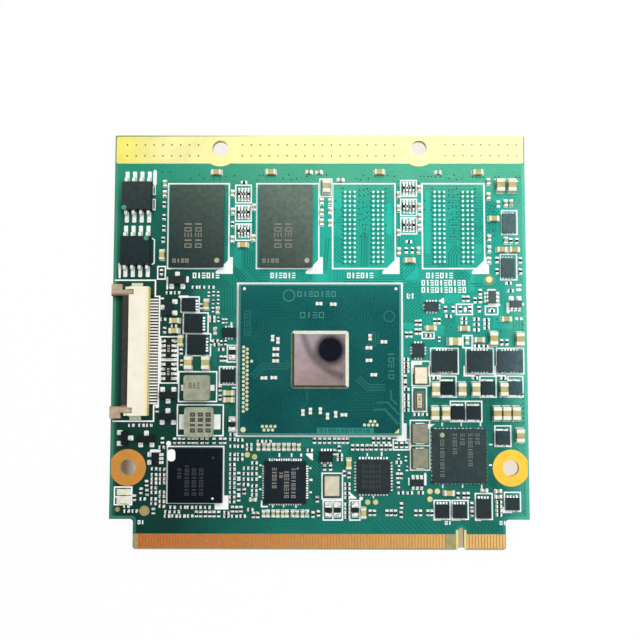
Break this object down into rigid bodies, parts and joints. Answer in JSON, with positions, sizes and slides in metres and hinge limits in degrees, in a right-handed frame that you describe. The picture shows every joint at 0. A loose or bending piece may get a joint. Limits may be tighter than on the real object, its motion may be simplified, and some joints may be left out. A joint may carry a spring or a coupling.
{
  "type": "computer-on-module circuit board",
  "caption": "Square plug-in processor module: green circuit board with edge contacts, a processor, memory chips, a flat-cable connector with a slide lock and mounting holes.",
  "frame": {"origin": "midpoint between the two lower mounting holes, on the board's underside", "axes": "+X to the right along the contact edge seen from the component side, +Y from the contact edge to the thermal edge, +Z out of the component side"},
  "size_m": [0.07, 0.07, 0.0045],
  "materials": {
    "laminate": "green solder mask over glass-fibre laminate",
    "contact_gold": "hard gold plate",
    "strip_gold": "soft gold plate",
    "ring_gold": "soft gold plate",
    "substrate": "dark teal solder mask",
    "silicon": "polished silicon",
    "underfill": "cured epoxy",
    "pale_ceramic": "fired, matt",
    "tan_ceramic": "fired, matt",
    "tin": "bright solder",
    "memory_mould": "moulded epoxy",
    "chip_mould": "moulded epoxy",
    "connector_cream": "moulded, satin",
    "connector_brown": "moulded, satin",
    "choke_ferrite": "pressed metal powder",
    "black_ferrite": "pressed, matt",
    "grey_ferrite": "pressed, matt",
    "oscillator_ceramic": "fired, matt",
    "lid_metal": "plated lid",
    "resistor_black": "glazed black",
    "led_white": "clear lens on white base"
  },
  "bodies": {
    "module": {"circuit_board": "laminate", "edge_contacts_top": "contact_gold", "edge_contacts_underside": "contact_gold", "thermal_strip_top": "strip_gold", "thermal_strip_underside": "strip_gold", "mounting_rings_top": "ring_gold", "mounting_rings_underside": "ring_gold", "bare_pads": "strip_gold", "cpu_substrate": "substrate", "cpu_die": "silicon", "cpu_underfill": "underfill", "cpu_capacitor_bodies": "pale_ceramic", "cpu_capacitor_ends": "tin", "cpu_contact_dots": "strip_gold", "cpu_solder_balls": "tin", "memory_chip_left": "memory_mould", "memory_chip_right": "memory_mould", "memory_solder_balls": "tin", "flash_chip_bodies": "chip_mould", "flash_chip_leads": "tin", "ffc_housing": "connector_cream", "ffc_contacts": "tin", "ffc_solder_tabs": "tin", "choke_bodies": "choke_ferrite", "choke_terminals": "tin", "power_inductor_bodies": "black_ferrite", "power_inductor_ends": "tin", "ferrite_bodies": "grey_ferrite", "ferrite_ends": "tin", "oscillator_bases": "oscillator_ceramic", "oscillator_lids": "lid_metal", "control_chip_body": "chip_mould", "control_chip_balls": "tin", "bridge_chip_body": "chip_mould", "bridge_chip_lands": "tin", "clock_chip_body": "chip_mould", "clock_chip_lands": "tin", "power_manager_body": "memory_mould", "power_manager_lands": "tin", "regulator_bodies": "chip_mould", "regulator_lands": "tin", "power_stage_bodies": "memory_mould", "power_stage_lands": "tin", "transistor_bodies": "chip_mould", "transistor_leads": "tin", "large_capacitor_bodies": "tan_ceramic", "large_capacitor_ends": "tin", "medium_capacitor_bodies": "tan_ceramic", "medium_capacitor_ends": "tin", "small_capacitor_bodies": "tan_ceramic", "small_capacitor_ends": "tin", "resistor_bodies": "resistor_black", "resistor_ends": "tin", "array_bodies": "resistor_black", "array_ends": "tin", "led_bodies": "led_white", "led_terminals": "strip_gold", "underside_capacitor_bodies": "tan_ceramic", "underside_capacitor_ends": "tin"},
    "slide_lock": {"ffc_slider": "connector_brown"}
  },
  "joints": [
    {"name": "ffc_slide", "type": "slide", "parent": "module", "child": "slide_lock", "axis": [-1, 0, 0], "range_m": [0, 0.001]}
  ]
}
